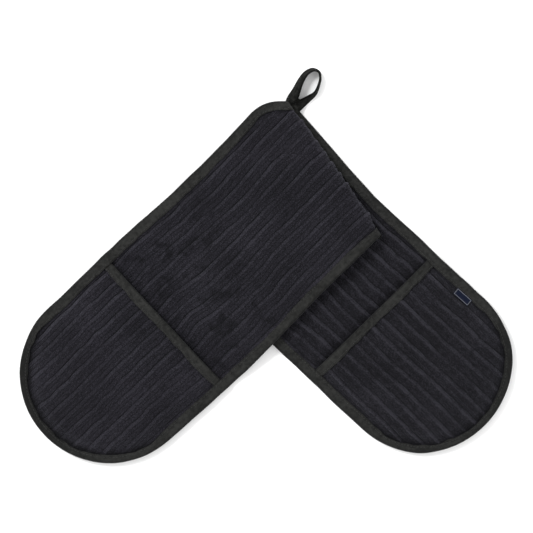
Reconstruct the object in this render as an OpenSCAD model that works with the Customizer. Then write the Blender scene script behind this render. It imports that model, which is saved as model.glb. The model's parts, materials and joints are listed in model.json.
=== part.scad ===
// Double oven glove: one long padded strip with a hand pocket at each end,
// folded in a V by a wedge pleat and laid on a table with both pockets up.
// Millimetres, +Z up. The origin is on the table at the middle of the glove.

/* [Strip] */
// Width of the strip, edge to edge
glove_w = 180; // [150:1:200]
// Length of the left arm, from the folded corner to its round end
left_len = 408; // [380:1:430]
// Length of the right arm, from the folded corner to its round end
right_len = 363; // [340:1:390]
// Thickness of the quilted strip
layer_t = 7.5; // [6:0.5:9]
// Thickness of the terry face
face_t = 1.8; // [1:0.1:2.5]
// Thickness of the backing cloth
backing_t = 1.2; // [0.8:0.1:2]

/* [Fold] */
// Direction of the left arm, which is the top layer
left_dir = -136; // [-142:1:-130]
// Direction of the right arm, which is the bottom layer
right_dir = -43; // [-50:1:-38]
// Lean of the visible crease from square across the left arm
crease_lean = 9; // [4:1:14]
// Distance that the blunt corner reaches above the corner point
nose_reach = 4.5; // [2:0.5:8]
// Clearance between layers of the fold
fold_gap = 0.4; // [0.3:0.1:1]

/* [Binding] */
// Width of the edge binding on each face
binding_w = 11; // [8:1:14]
// Thickness of the binding tape
tape_t = 1; // [0.8:0.1:1.5]
// Width of a row of stitching
thread_w = 0.8; // [0.5:0.1:1.2]

/* [Pockets] */
// Depth of the left pocket, from its mouth to the round end
left_pocket_depth = 168; // [150:1:172]
// Depth of the right pocket
right_pocket_depth = 160; // [150:1:172]
// Thickness of the quilted pocket front
pocket_t = 6; // [5:0.5:8]
// Thickness of the sewn margin that joins the pocket to the strip
margin_t = 5; // [4:0.5:6]
// Width of the sewn margin, binding included
margin_w = 20; // [16:1:26]
// Height of the hand space at the mouth
hand_h = 8; // [6:0.5:12]
// Length over which the hand space closes towards the round end
taper_len = 45; // [30:1:60]

/* [Loop and label] */
// Length of the free part of the hanging loop
loop_len = 40; // [30:1:50]
// Width of the hanging loop across its round end
loop_w = 19; // [16:1:24]
// Width of the loop's tape as it lies
loop_band = 4; // [3:0.5:5]
// Thickness of the loop as it lies
loop_t = 4; // [3:0.5:5]
// Direction of the hanging loop
loop_dir = 60; // [50:1:70]
// Length of the label along the edge
label_len = 19; // [14:1:26]
// Width of the label
label_w = 7.5; // [5:0.5:8.5]
// Thickness of the folded label
label_t = 1; // [0.8:0.1:1.4]
// Distance from the right pocket's mouth to the label
label_from_mouth = 45; // [30:1:70]

/* [Hidden] */
$fn = 96;

terry = "#2a292e";
lining = "#323035";
wool = "#d9d6cf";
tape = "#30322f";
thread = "#3c3c3a";
woven = "#27335a";

// The corner point, from the middle of the glove's bounding box
corner = [24.5, 160.5];
// Distance of each arm's loop-side edge from the corner point
left_edge_off = 23;
right_edge_off = 7.7;
// Place along the left arm where the visible crease meets its loop-side edge
crease_start = 2;
half_w = glove_w / 2;
pitch = layer_t + fold_gap;
drop = 2 * pitch;
// The left arm leaves the stack at ramp_start and lies on the table from ramp_end
ramp_start = 184;
ramp_end = 236;
left_mouth = left_len - left_pocket_depth;
right_mouth = right_len - right_pocket_depth;
// Length and height of the blocks that cut the panels out, well past the glove on every side
far = 1500;
tall = 80;
thread_in = binding_w - 1 - thread_w;
thread_h = tape_t / 2;
// Levels inside the strip, from the table up
z_backing = backing_t;
z_face = layer_t - face_t;
// Levels inside the pocket front, from its underside up
lining_t = 1.6;
pocket_face_t = 1.5;
z_margin = layer_t + margin_t;

function along(a) = [cos(a), sin(a)];
function cross_z(a, b) = a[0] * b[1] - a[1] * b[0];
// Meeting point of the line through p at angle a with the line through q at angle b
function meet(p, a, q, b) = p + along(a) * cross_z(q - p, along(b)) / cross_z(along(a), along(b));

// Each arm's own frame has x along the arm and y from the loop-side edge inwards
left_zero = corner - left_edge_off * along(left_dir + 90);
right_zero = corner - right_edge_off * along(right_dir + 90);
crease1_dir = left_dir + 90 - crease_lean;
crease1_at = left_zero + crease_start * along(left_dir);
middle_dir = 2 * crease1_dir - left_dir;
crease2_lean = (180 - (right_dir - left_dir)) / 2 - crease_lean;
crease2_dir = right_dir - 90 + crease2_lean;
crease2_at = meet(crease1_at, middle_dir, right_zero, right_dir);
nose_y = corner[1] + nose_reach;

// ---------- frames ----------

module in_arm(side) {
    if (side == "left") translate([left_zero[0], left_zero[1], 0]) rotate([0, 0, left_dir]) children();
    if (side == "right")
        translate([right_zero[0], right_zero[1], 0]) rotate([0, 0, right_dir]) mirror([0, 1, 0]) children();
}

function arm_len(side) = side == "left" ? left_len : right_len;
function mouth(side) = side == "left" ? left_mouth : right_mouth;

// Half plane to the left of a line
module half_plane(at, dir) {
    translate([at[0], at[1], -tall / 2]) rotate([0, 0, dir])
        translate([-far / 2, 0, 0]) cube([far, far / 2, tall]);
}

// ---------- plans, as tall prisms ----------

// An arm from far behind the fold to its round end, inset from its sewn edges
module arm_prism(side, inset) {
    reach = arm_len(side) - half_w;
    in_arm(side) translate([0, 0, -tall / 2]) {
        translate([-half_w, inset, 0]) cube([reach + half_w, glove_w - 2 * inset, tall]);
        translate([reach, half_w, 0]) cylinder(h = tall, r = half_w - inset);
    }
}

module under_nose(inset) {
    half_plane([0, nose_y - inset], 180);
}

// The plan of one panel of the folded strip
module panel_prism(side, inset) {
    if (side == "left") intersection() {
        arm_prism("left", inset);
        half_plane(crease1_at - fold_gap / 2 * along(crease1_dir + 90), crease1_dir + 180);
        under_nose(inset);
    }
    if (side == "right") intersection() {
        arm_prism("right", inset);
        half_plane(crease2_at + fold_gap / 2 * along(crease2_dir + 90), crease2_dir);
        under_nose(inset);
    }
    if (side == "middle") intersection() {
        half_plane(crease1_at - fold_gap / 2 * along(crease1_dir + 90), crease1_dir + 180);
        half_plane(crease2_at + fold_gap / 2 * along(crease2_dir + 90), crease2_dir);
        middle_prism(inset);
        under_nose(inset);
    }
}

// The strip between the two creases, lying along its own direction
module middle_prism(inset) {
    translate([crease1_at[0], crease1_at[1], -tall / 2]) rotate([0, 0, middle_dir])
        translate([-far / 2, inset - glove_w, 0]) cube([far, glove_w - 2 * inset, tall]);
}

// ---------- levels ----------

// A level band: flat for the right arm, upside down for the middle, sloping down for the left arm
module level(side, z0, z1) {
    if (side == "right") translate([-far / 2, -far / 2, z0]) cube([far, far, z1 - z0]);
    if (side == "middle") translate([-far / 2, -far / 2, pitch + layer_t - z1]) cube([far, far, z1 - z0]);
    if (side == "left") in_arm("left") translate([0, far / 2, 0]) rotate([90, 0, 0])
        linear_extrude(height = far) polygon([
            [-far / 2, z0 + drop], [ramp_start, z0 + drop], [ramp_end, z0], [far / 2, z0],
            [far / 2, z1], [ramp_end, z1], [ramp_start, z1 + drop], [-far / 2, z1 + drop]
        ]);
}

module slab(side, inset, z0, z1) {
    intersection() {
        panel_prism(side, inset);
        level(side, z0, z1);
    }
}

// Height inside the binding of a level that lies at z in the open quilt
function pressed(z) = tape_t + z * (layer_t - 2 * tape_t) / layer_t;

// One layer of the quilt, pressed thinner where the binding holds it
module quilt_layer(side, z0, z1) {
    slab(side, binding_w, z0, z1);
    difference() {
        slab(side, tape_t, pressed(z0), pressed(z1));
        panel_prism(side, binding_w);
    }
}

// ---------- the strip ----------

module backing(side) {
    color(lining) quilt_layer(side, 0, z_backing);
}

module wadding(side) {
    color(wool) quilt_layer(side, z_backing, z_face);
}

module face_terry(side) {
    color(terry) quilt_layer(side, z_face, layer_t);
}

// The part of an arm's plan that the pocket covers
module pocket_prism(side, inset, from) {
    intersection() {
        arm_prism(side, inset);
        in_arm(side) translate([mouth(side) + from, -far / 2, -tall / 2]) cube([far, far, tall]);
    }
}

module raise(z0, z1) {
    intersection() {
        children();
        translate([-far / 2, -far / 2, z0]) cube([far, far, z1 - z0]);
    }
}

// Tape folded round the edge, taller where it also holds the pocket's margin
module edge_binding(side) {
    color(tape) difference() {
        union() {
            slab(side, 0, 0, layer_t);
            if (side != "middle") raise(0, z_margin) pocket_prism(side, 0, 0);
        }
        slab(side, tape_t, tape_t, layer_t - tape_t);
        if (side != "middle") raise(tape_t, z_margin - tape_t) pocket_prism(side, tape_t, 0);
        panel_prism(side, binding_w);
        binding_stitches(side);
    }
}

// The row of stitches, sunk in the tape
module binding_stitches(side) {
    difference() {
        slab(side, thread_in, layer_t - thread_h, layer_t);
        panel_prism(side, thread_in + thread_w);
        if (side != "middle") pocket_prism(side, 0, 0);
    }
    if (side != "middle") raise(z_margin - thread_h, z_margin) difference() {
        pocket_prism(side, thread_in, 0);
        pocket_prism(side, thread_in + thread_w, -1);
    }
}

module binding_thread(side) {
    color(thread) binding_stitches(side);
}

// ---------- the pockets ----------

// The sewn margin of the pocket front, which stays on the strip
module pocket_margin(side) {
    color(terry) {
        raise(layer_t, z_margin) difference() {
            pocket_prism(side, binding_w, 0);
            pocket_prism(side, margin_w - fold_gap, -1);
        }
        raise(layer_t - tape_t, z_margin - tape_t) difference() {
            pocket_prism(side, tape_t, 0);
            pocket_prism(side, binding_w, -1);
        }
    }
}

// A band of the pocket front between two heights above its underside
module front_band(side, from, to, z0, z1) {
    end = arm_len(side) - margin_w;
    low = layer_t + fold_gap;
    high = low + hand_h;
    rise = end - taper_len;
    intersection() {
        pocket_prism(side, margin_w, from);
        in_arm(side) translate([0, far / 2, 0]) rotate([90, 0, 0]) linear_extrude(height = far)
            polygon([
                [0, high + z0], [rise, high + z0], [end + 1, low + z0],
                [end + 1, low + z1], [rise, high + z1], [0, high + z1]
            ]);
        if (to > 0) in_arm(side) translate([0, 0, -tall / 2]) cube([mouth(side) + to, glove_w, tall]);
    }
}

// Height of a level of the pocket front where the mouth binding holds it
function front_pressed(z) = tape_t + z * (pocket_t - 2 * tape_t) / pocket_t;

module front_layer(side, z0, z1) {
    front_band(side, binding_w, 0, z0, z1);
    front_band(side, tape_t, binding_w, front_pressed(z0), front_pressed(z1));
}

module pocket_lining(side) {
    color(lining) front_layer(side, 0, lining_t);
}

module pocket_wadding(side) {
    color(wool) front_layer(side, lining_t, pocket_t - pocket_face_t);
}

module pocket_face(side) {
    color(terry) front_layer(side, pocket_t - pocket_face_t, pocket_t);
}

module mouth_binding(side) {
    color(tape) difference() {
        front_band(side, 0, binding_w, 0, pocket_t);
        front_band(side, tape_t, 0, tape_t, pocket_t - tape_t);
        mouth_stitches(side);
    }
}

module mouth_stitches(side) {
    front_band(side, thread_in, thread_in + thread_w, pocket_t - thread_h, pocket_t);
}

module mouth_thread(side) {
    color(thread) mouth_stitches(side);
}

// ---------- the hanging loop ----------

// Distance that the loop's sewn ends stand out from the edge
sewn_len = 9;
sewn_w = 15;
// The bar tack, let into the top of the sewn ends
tack_len = 10;
tack_w = 2;
tack_t = 1;
loop_clear = loop_t / 2 + 1.6;
// Width of the loop and of its hole at their narrow ends
loop_foot = 10;
hole_foot = 0.02;
// Place of the sewn ends along the right arm's loop-side edge
loop_s = -5;
loop_base = right_zero + loop_s * along(right_dir) + (sewn_len + loop_clear) * along(right_dir + 90);

module loop_sewn_ends() {
    color(tape) in_arm("right") translate([loop_s - sewn_w / 2, -sewn_len, 0]) difference() {
        cube([sewn_w, sewn_len, loop_t]);
        translate([sewn_w / 2 - tack_len / 2, sewn_len / 2 - tack_w / 2, loop_t - tack_t])
            cube([tack_len, tack_w, 2 * tack_t]);
    }
}

module loop_bar_tack() {
    color(thread) in_arm("right")
        translate([loop_s - tack_len / 2, -sewn_len / 2 - tack_w / 2, loop_t - tack_t])
            cube([tack_len, tack_w, tack_t]);
}

// A drop shape: a round end and straight sides to a narrow foot that starts at foot_x
module drop_prism(r, foot_x, foot, height) {
    reach = loop_len - loop_w / 2;
    translate([reach, 0, 0]) cylinder(h = height, r = r);
    linear_extrude(height = height)
        polygon([[foot_x, foot / 2], [reach, r], [reach, -r], [foot_x, -foot / 2]]);
}

module hanging_loop() {
    color(tape) translate([loop_base[0], loop_base[1], 0]) rotate([0, 0, loop_dir]) difference() {
        drop_prism(loop_w / 2, 0, loop_foot, loop_t);
        translate([0, 0, -1]) drop_prism(loop_w / 2 - loop_band, loop_band, hole_foot, loop_t + 2);
    }
}

// ---------- the label ----------

module label_tab() {
    color(woven) in_arm("right")
        translate([right_mouth + label_from_mouth, binding_w, z_margin + fold_gap])
            cube([label_len, label_w, label_t]);
}

backing("right");  // right_backing
wadding("right");  // right_wadding
face_terry("right");  // right_face_terry
edge_binding("right");  // right_edge_binding
binding_thread("right");  // right_binding_thread
backing("middle");  // middle_backing
wadding("middle");  // middle_wadding
face_terry("middle");  // middle_face_terry
edge_binding("middle");  // middle_edge_binding
binding_thread("middle");  // middle_binding_thread
backing("left");  // left_backing
wadding("left");  // left_wadding
face_terry("left");  // left_face_terry
edge_binding("left");  // left_edge_binding
binding_thread("left");  // left_binding_thread
pocket_margin("left");  // left_pocket_margin
pocket_lining("left");  // left_pocket_lining
pocket_wadding("left");  // left_pocket_wadding
pocket_face("left");  // left_pocket_face
mouth_binding("left");  // left_mouth_binding
mouth_thread("left");  // left_mouth_thread
pocket_margin("right");  // right_pocket_margin
pocket_lining("right");  // right_pocket_lining
pocket_wadding("right");  // right_pocket_wadding
pocket_face("right");  // right_pocket_face
mouth_binding("right");  // right_mouth_binding
mouth_thread("right");  // right_mouth_thread
loop_sewn_ends();
loop_bar_tack();
hanging_loop();
label_tab();
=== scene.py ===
"""Double oven glove, folded in a V by a wedge pleat, lying on a pale table with both pockets up.

Every soft piece is made in strip space: s runs along an arm towards its round end, t runs across the
strip from the edge that carries the hanging loop, and z is the height above the strip's backing. The
place_... functions lay strip space out over the fold, the creases and the table. Metres throughout.
"""
import functools
import json
import math

import bpy
import numpy as np
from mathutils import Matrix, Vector


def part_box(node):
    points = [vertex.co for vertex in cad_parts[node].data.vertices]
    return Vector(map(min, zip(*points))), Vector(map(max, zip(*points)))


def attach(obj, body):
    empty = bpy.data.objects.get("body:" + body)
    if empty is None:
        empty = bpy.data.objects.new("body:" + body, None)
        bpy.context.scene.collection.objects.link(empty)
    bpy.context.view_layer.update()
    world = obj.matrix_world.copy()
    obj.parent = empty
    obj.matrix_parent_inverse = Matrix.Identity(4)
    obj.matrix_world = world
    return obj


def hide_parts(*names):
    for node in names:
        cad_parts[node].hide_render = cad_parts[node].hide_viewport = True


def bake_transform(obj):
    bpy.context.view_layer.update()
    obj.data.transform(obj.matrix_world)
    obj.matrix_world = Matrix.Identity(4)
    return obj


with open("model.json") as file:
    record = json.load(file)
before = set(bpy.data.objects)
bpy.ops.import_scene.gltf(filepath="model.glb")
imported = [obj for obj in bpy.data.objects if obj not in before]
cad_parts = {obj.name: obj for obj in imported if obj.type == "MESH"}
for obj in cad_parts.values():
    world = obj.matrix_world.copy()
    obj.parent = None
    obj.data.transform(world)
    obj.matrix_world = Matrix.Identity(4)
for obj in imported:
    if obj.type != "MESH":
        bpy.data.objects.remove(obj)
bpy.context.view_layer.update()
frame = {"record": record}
MM = 0.001

# ---- driving sizes
WIDTH = 180 * MM  # strip, edge to edge
HALF = WIDTH / 2
THICK = 7.5 * MM  # quilted strip
GAP = 0.4 * MM  # between layers of the fold
PITCH = THICK + GAP
MARGIN = 20 * MM  # the pocket hinges stand this far inside the round ends
ARM_LEN = {"left": 408 * MM, "right": 363 * MM}
POCKET_DEPTH = {"left": 168 * MM, "right": 160 * MM}
MOUTH_SKEW = {"left": 0.018, "right": -0.045}  # how far a mouth line runs off square
TAPE_W = 11 * MM  # edge binding on each face
TAPE_T = 0.9 * MM
TAPE_OFF = 0.1 * MM  # a folded tape stands this far off the face it covers
NARROW = {"tip": 0.27, "nose": 0.16, "mouth": 0.16}  # the share of its width that a tape loses there
RIB = 12.6 * MM  # pitch of the terry's ribs
RIB_H = 1.5 * MM
CREST = {"left": 0.2, "right": 0.22, "left_pocket": 0.2, "right_pocket": 0.6}  # the cords' offset, in cords
CUT = {"left": 87 * MM, "right": 92 * MM}  # a flat strip between cords, where the pocket fronts' halves meet
PILE = 0.36 * MM  # unevenness of the looped pile
NOSE_R = {"left": 44 * MM, "right": 12 * MM}  # rounding of the blunt folded corner
FLARE = 11 * MM  # how far the right arm's edge swings out towards the folded corner
FLARE_FROM = 124 * MM
FLARE_TO = 12 * MM
BOW = 4.0 * MM  # how far the left arm's length bends towards the right one
POCKET_T = 6 * MM
PRESSED = {"strip": 0.7, "pocket": 0.6}  # the share of its thickness that the quilt keeps at its border
HAND_H = 7 * MM  # height of the hand space at the middle of a mouth
QUILT_INSET = 3 * MM  # the quilt's layers stop this far inside the edge, within the binding
FRONT_INSET = 4 * MM  # and the pocket fronts' layers this far
SWELL_SHARE = 0.65  # how much of a pocket front's swell is the simulated one
LABEL_LEN, LABEL_W, LABEL_T = 19 * MM, 7.5 * MM, 0.9 * MM
LABEL_AT = 45 * MM  # from the right mouth
LABEL_LIFT, LABEL_WAVE = 0.9 * MM, 0.25 * MM  # its middle over the pocket's face, and how much it curls
STITCH_IN = 1.7 * MM  # the stitch rows run this far inside the tape's border
NEUTRAL = THICK / 2  # bending radius of a fold
ROLL = NEUTRAL * math.pi / 2  # a layer's length round the quarter turn at a crease
BEND = 15.4 * MM  # length over which cloth turns through a fold when the glove is opened
ROLL_ROOM = 9 * MM  # how far the hidden fold stands out under the left arm
DRAPE = 60 * MM  # length over which the left arm comes down from what it lies on
SAG_FROM, SAG_TO = 45 * MM, 245 * MM  # the quilt is stiff, so it also slopes down slowly along the arm

joints = {j["name"]: j for j in frame["record"]["behaviour"]["joints"]}


def joint_line(name):
    j = joints[name]
    return np.array(j["pos_m"]), np.array(j["axis"], float)


def turned(v, quarter):
    """A plan vector turned by a quarter turn, +1 to the left."""
    return np.array([-quarter * v[1], quarter * v[0]])


# ---- arm frames
class Arm:
    """An arm's strip frame: origin at its loop-side edge, s along it, t across it."""

    def __init__(self, side):
        pos, axis = joint_line(side + "_pocket_open")
        self.side = side
        self.length = ARM_LEN[side]
        self.reach = self.length - HALF  # where the round end starts
        self.mouth = self.length - POCKET_DEPTH[side]
        self.d = turned(axis[:2], -1)
        self.n = axis[:2] * (1 if side == "left" else -1)
        self.zero = pos[:2] - (self.length - MARGIN) * self.d - HALF * self.n

    def plan(self, s, t):
        s, t = np.asarray(s, float), np.asarray(t, float)
        return self.zero + s[..., None] * self.d + t[..., None] * self.n

    def inverse(self, p):
        q = np.asarray(p)[..., :2] - self.zero
        return q @ self.d, q @ self.n


LEFT, RIGHT = Arm("left"), Arm("right")
NOSE_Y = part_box("left_edge_binding")[1][1]  # how far up the plan the blunt folded corner reaches


class Crease:
    """A fold line: out points away from the panels that it joins."""

    def __init__(self, name):
        pos, axis = joint_line(name)
        self.p, self.z = pos[:2], pos[2]
        self.out = turned(axis[:2], 1)

    def beyond(self, plan):
        return (plan - self.p) @ self.out


TOP_CREASE, UNDER_CREASE = Crease("top_fold"), Crease("under_fold")


# ---- noise and small helpers
def smooth(x):
    x = np.clip(x, 0, 1)
    return x * x * (3 - 2 * x)


def hump(x, middle, width):
    return np.exp(-(((x - middle) / width) ** 2))


def rows_between(start, end, count):
    """Evenly spaced rows from start to end, for every column."""
    return start + np.linspace(0, 1, count)[:, None] * (end - start)


def even_steps(first, last, step):
    return np.linspace(first, last, max(int(round((last - first) / step)) + 1, 3))


def along_path(points):
    return np.concatenate([[0], np.cumsum(np.linalg.norm(np.diff(points, axis=0), axis=1))])


def read_along(at, values, where):
    """Rows of values that stand at the distances at, read at the distances where."""
    return np.stack([np.interp(where, at, column) for column in values.T], -1)


def unit_rows(vectors):
    return vectors / np.linalg.norm(vectors, axis=-1, keepdims=True)


def read_grid(grid, u, v, ease=lambda share: share):
    """A grid's value at row u and column v, between its four neighbours; beyond its end it repeats."""
    i, j = np.floor(u).astype(int), np.floor(v).astype(int)
    a, b = ease(u - i), ease(v - j)
    at = lambda p, q: grid[(i + p) % grid.shape[0], (j + q) % grid.shape[1]]
    return (at(0, 0) * (1 - a) + at(1, 0) * a) * (1 - b) + (at(0, 1) * (1 - a) + at(1, 1) * a) * b


def lattice_noise(x, y, size, seed):
    """Smooth noise from -1 to 1 with features of the given size, the same on every run."""
    return read_grid(np.random.RandomState(seed).uniform(-1, 1, (256, 256)), x / size, y / size, smooth)


def uneven(x, y, *layers):
    """A sum of noises, each given by its height and the size of its features in mm, and its seed."""
    return sum(height * MM * lattice_noise(x, y, size * MM, seed) for height, size, seed in layers)


# ---- laying strip space out
def mirrored(plan):
    """The plan point on the other side of the visible crease."""
    return plan - 2 * TOP_CREASE.beyond(plan)[..., None] * TOP_CREASE.out


def past_middle(plan):
    """How far a plan point lies outside the wedge panel's far edge."""
    return LEFT.inverse(mirrored(plan))[1] - WIDTH


def stack_height(plan):
    """Height of the left arm's backing over what it lies on, with a soft slope down to the table."""
    past_fold = np.maximum(UNDER_CREASE.beyond(plan) - ROLL_ROOM, 0)
    away = np.hypot(past_fold, np.maximum(RIGHT.inverse(plan)[1] - WIDTH, 0))
    away_middle = np.hypot(past_fold, np.maximum(past_middle(plan), 0))
    carried = 1 - (smooth(away / DRAPE) + smooth(away_middle / (0.75 * DRAPE))) / 2
    stiff = 1 - smooth((LEFT.inverse(plan)[0] - SAG_FROM) / (SAG_TO - SAG_FROM))
    return 2 * PITCH * (1 - (1 - carried) * (1 - stiff))


def joined(plan, z):
    return np.concatenate([plan, z[..., None]], axis=-1)


def rolled(plan, crease, radius, sign, flat_z):
    """Flat layout up to a crease, then a quarter turn round it."""
    q = crease.beyond(plan)
    turn = np.clip(q / NEUTRAL, 0, math.pi / 2)
    base = plan - np.maximum(q, 0)[..., None] * crease.out
    out = base + (radius * np.sin(turn))[..., None] * crease.out
    return joined(out, np.where(q > 0, crease.z + sign * radius * np.cos(turn), flat_z))


def tip_shape(arm, s, t, squarer):
    """The round ends aren't true half circles, and the sewn edges waver a little."""
    wider = 1 + squarer * hump(s, arm.reach + 68 * MM, 24 * MM)
    seed = 61 if arm.side == "left" else 62
    waver = uneven(s, t, (0.45, 30, seed), (0.2, 12, seed + 2))
    return s - 0.3 * MM * smooth((s - arm.reach) / HALF), HALF + (t - HALF) * wider + waver * smooth(s / HALF)


def place_left(s, t, z):
    s, t = tip_shape(LEFT, s, t, 0.012)
    settled = smooth(-TOP_CREASE.beyond(LEFT.plan(s, t)) / (40 * MM))
    t = t + BOW * settled * hump(s, (112 + 100 * t / WIDTH) * MM, 80 * MM)
    plan = LEFT.plan(s, t)
    return rolled(plan, TOP_CREASE, z + GAP / 2, 1, stack_height(plan) + z)


def place_right(s, t, z):
    s, t = tip_shape(RIGHT, s, t, 0.042)
    swing = FLARE * np.clip((FLARE_FROM - s) / (FLARE_FROM - FLARE_TO), 0, 1.25)
    swing = swing * smooth(-UNDER_CREASE.beyond(RIGHT.plan(s, t)) / (14 * MM))
    plan = RIGHT.plan(s, t - swing * (1 - np.clip(t / WIDTH, 0, 1)) ** 2)
    return rolled(plan, UNDER_CREASE, THICK - z + GAP / 2, -1, z)


def wedge(s, t):
    """Where the wedge panel's points lie, which is face down."""
    return mirrored(LEFT.plan(s, t))


def place_middle_near(s, t, z):
    """The half of the wedge panel by the visible crease."""
    return rolled(wedge(s, t), TOP_CREASE, z + GAP / 2, -1, PITCH + THICK - z)


def place_middle_far(s, t, z):
    """The half of the wedge panel by the hidden crease."""
    return rolled(wedge(s, t), UNDER_CREASE, THICK - z + GAP / 2, 1, PITCH + THICK - z)


PLACE = {"left": place_left, "right": place_right}
ARMS = {"left": LEFT, "right": RIGHT}
NOSE = {"left": NOSE_Y, "right": NOSE_Y - 8 * MM}  # each layer's blunt corner lies back from the one above
CREASE = {"left": TOP_CREASE, "right": UNDER_CREASE}


# ---- the quilt's section
def depth_inside(side, s, t):
    """Distance of a point of the strip from its nearest sewn edge."""
    arm = ARMS[side]
    sides = np.minimum(t, WIDTH - t)
    end = HALF - np.hypot(s - arm.reach, t - HALF)
    nose = NOSE[side] - arm.plan(s, t)[..., 1]
    return np.minimum(np.where(s > arm.reach, end, sides), nose)


def cords(side, s, t, crest):
    """A point's place among the cords, counted in cords from the strip's middle, and their strength."""
    seed = 3 if side == "left" else 4
    drift = uneven(s, t, (1.5, 50, seed), (0.9, 13, seed + 5))
    if side == "left":
        drift = drift + 2.2 * MM * hump(s, 205 * MM, 55 * MM) * lattice_noise(s, t * 0.7, 20 * MM, 22)
    drift = drift * smooth(np.abs(t - CUT[side]) / (9 * MM))
    f = (t - HALF + drift) / RIB - crest
    along_cord = np.floor(f + 0.5) * 40 * MM
    strength = 0.75 + 0.45 * lattice_noise(s, along_cord, 26 * MM, seed + 7)
    return f, strength + 0.3 * lattice_noise(s, along_cord, 7 * MM, seed + 8)


def rib_shape(side, s, t, crest):
    """Narrow cords that rise steeply beside a fine groove and slope off slowly, 1 at most."""
    f, strength = cords(side, s, t, crest)
    f = f - np.floor(f + 0.5)
    cord = np.where(f < 0, hump(f, 0, 0.1), 0.55 * hump(f, 0, 0.16) + 0.45 * hump(f, 0, 0.34))
    return strength * (cord - 0.5 * hump(f, -0.2, 0.055)) - 0.14 * hump(f, 0.36, 0.06)


def crumple(side, s, t):
    """Gentle unevenness of quilted terry, with soft creases before the left arm's mouth, and its pile."""
    seed = 11 if side == "left" else 12
    z = uneven(s, t, (0.45, 34, seed), (0.3, 11, seed + 2))
    if side == "left":
        near_mouth = hump(s, 205 * MM, 45 * MM) * (0.4 + 0.6 * smooth((t - 30 * MM) / (60 * MM)))
        z = z + 1.2 * MM * near_mouth * lattice_noise(s + 0.5 * t, t * 0.5, 15 * MM, 21)
    return z + PILE * (lattice_noise(s, t, 1.5 * MM, 31) + 0.8 * lattice_noise(s, t, 3.1 * MM, 32))


def plump(depth, low, rise_from=8 * MM, rise=14 * MM):
    """A share of full thickness, low where the quilt is pressed by its border."""
    return low + (1 - low) * smooth((depth - rise_from) / rise)


def relief(depth):
    """How much of the cords' height stands at a depth inside the edge."""
    return plump(depth, 0.3, 7 * MM, 7 * MM)


def back_rise(depth):
    """The backing's height near the edge, where the strip is pulled up a little."""
    return 1.1 * MM * (1 - smooth((depth - 10 * MM) / (10 * MM)))


def face_level(side, s, t):
    """Height of the strip's face without its cords and pile."""
    return THICK * plump(depth_inside(side, s, t), PRESSED["strip"])


def face_height(side, s, t):
    pile = RIB_H * rib_shape(side, s, t, CREST[side]) + crumple(side, s, t)
    return face_level(side, s, t) + relief(depth_inside(side, s, t)) * pile


def back_height(side, s, t):
    return back_rise(depth_inside(side, s, t))


def mouth_line(side, t):
    """Where along the arm its pocket's mouth runs."""
    return ARMS[side].mouth + MOUTH_SKEW[side] * (t - HALF)


def round_end(side, t, inset):
    """The last s of each column of a layer that stops an inset inside the round end."""
    return ARMS[side].reach + np.sqrt(np.maximum((HALF - inset) ** 2 - (t - HALF) ** 2, 0))


def half_front(side, half, inset):
    """First and last t of half a pocket front."""
    return (inset, CUT[side]) if half == "a" else (CUT[side], WIDTH - inset)


def front_grid(side, t, first, count):
    """A grid of s and t over a pocket front, from a little past the mouth line to the round end."""
    s = rows_between(mouth_line(side, t) + first, round_end(side, t, FRONT_INSET), count)
    return s, np.broadcast_to(t, s.shape)


def add_object(name, data):
    made = bpy.data.objects.new(name, data)
    bpy.context.collection.objects.link(made)
    return made


# ---- the pocket fronts' swell
SWELL_ROWS, SWELL_COLUMNS, SWELL_FRAMES = 57, 61, 20
SWELL_PRESSURE = 4
SWELL_FULLNESS = 0.03  # the cloth is this much fuller than its outline, so that it puckers


def flat_front(side, s, t):
    """A flat pocket front to be blown up, held by its seam."""
    mesh = bpy.data.meshes.new("swell")
    points = np.stack([s, t, uneven(s, t, (0.05, 2, 71))], -1).reshape(-1, 3)
    mesh.from_pydata(points.tolist(), [], quads(SWELL_ROWS, SWELL_COLUMNS).tolist())
    mesh.update()
    front = add_object("swell", mesh)
    held = front.vertex_groups.new(name="held")
    hold = np.clip(1 - (depth_inside(side, s, t) - 9 * MM) / (5 * MM), 0, 1).ravel()
    for index in np.nonzero(hold)[0]:
        held.add([int(index)], float(hold[index]), "REPLACE")
    return front, mesh


def blown_up(side):
    """A pocket front's swell and its puckers, as a grid of heights from a cloth simulation."""
    t = np.linspace(FRONT_INSET, WIDTH - FRONT_INSET, SWELL_COLUMNS)
    front, mesh = flat_front(side, *front_grid(side, t, 0, SWELL_ROWS))
    cloth = front.modifiers.new("cloth", "CLOTH").settings
    cloth.quality, cloth.mass, cloth.vertex_group_mass = 5, 0.3, "held"
    cloth.tension_stiffness = cloth.compression_stiffness = 15
    cloth.shear_stiffness, cloth.bending_stiffness = 5, 0.5
    cloth.shrink_min = -SWELL_FULLNESS
    cloth.use_pressure = True
    cloth.uniform_pressure_force = math.copysign(SWELL_PRESSURE, mesh.polygons[0].normal.z)
    cloth.effector_weights.gravity = 0
    for frame_number in range(1, SWELL_FRAMES + 1):
        bpy.context.scene.frame_set(frame_number)
    done = front.evaluated_get(bpy.context.evaluated_depsgraph_get()).to_mesh()
    points = np.empty(3 * SWELL_ROWS * SWELL_COLUMNS)
    done.vertices.foreach_get("co", points)
    bpy.data.objects.remove(front)
    bpy.data.meshes.remove(mesh)
    bpy.context.scene.frame_set(1)
    z = np.pad(points.reshape(SWELL_ROWS, SWELL_COLUMNS, 3)[..., 2], 1, mode="edge")
    z = (z[:-2] + 2 * z[1:-1] + z[2:]) / 4  # softened along the arm, then across
    z = (z[:, :-2] + 2 * z[:, 1:-1] + z[:, 2:]) / 4
    return HAND_H * (1 - np.exp(-np.maximum(z, 0) / HAND_H))


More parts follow.
